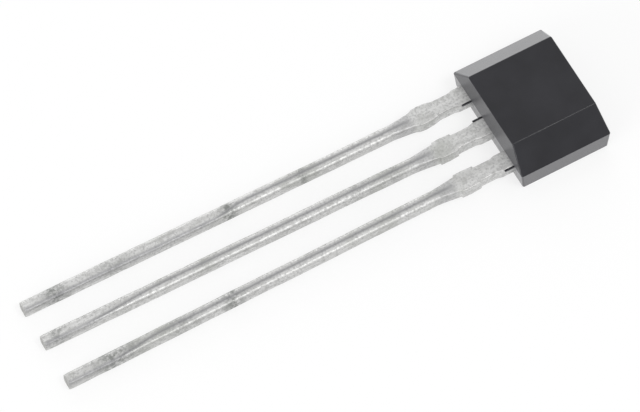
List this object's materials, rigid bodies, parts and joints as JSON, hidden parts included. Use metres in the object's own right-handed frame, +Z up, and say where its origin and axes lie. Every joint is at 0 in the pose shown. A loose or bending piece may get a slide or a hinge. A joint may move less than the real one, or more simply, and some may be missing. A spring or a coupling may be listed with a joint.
{
  "type": "hall effect sensor",
  "caption": "Three-lead hall effect sensor in a flat black single-in-line package with chamfered front and long straight leads.",
  "frame": {"origin": "middle of the footprint, on the surface that the sensor lies on", "axes": "+X along the leads from their tips to the body, +Y across the leads towards the supply lead, +Z up; the flat back is down and the sensing face up, and the whole lies 1.2 degrees off level, on the body's back edge and the three tips"},
  "size_m": [0.0178, 0.004, 0.0016],
  "materials": {
    "moulding_compound": "fine matte black epoxy moulding",
    "tinned_lead": "dull tin plate over copper alloy strip",
    "silicon": "polished silicon",
    "adhesive": "cured silver-filled epoxy",
    "gold_wire": "bare drawn gold wire"
  },
  "bodies": {
    "root": {"package_body": "moulding_compound", "supply_lead": "tinned_lead", "ground_lead": "tinned_lead", "output_lead": "tinned_lead", "hall_die": "silicon", "die_attach": "adhesive", "supply_bond_wire": "gold_wire", "ground_bond_wire": "gold_wire", "output_bond_wire": "gold_wire"}
  },
  "joints": []
}
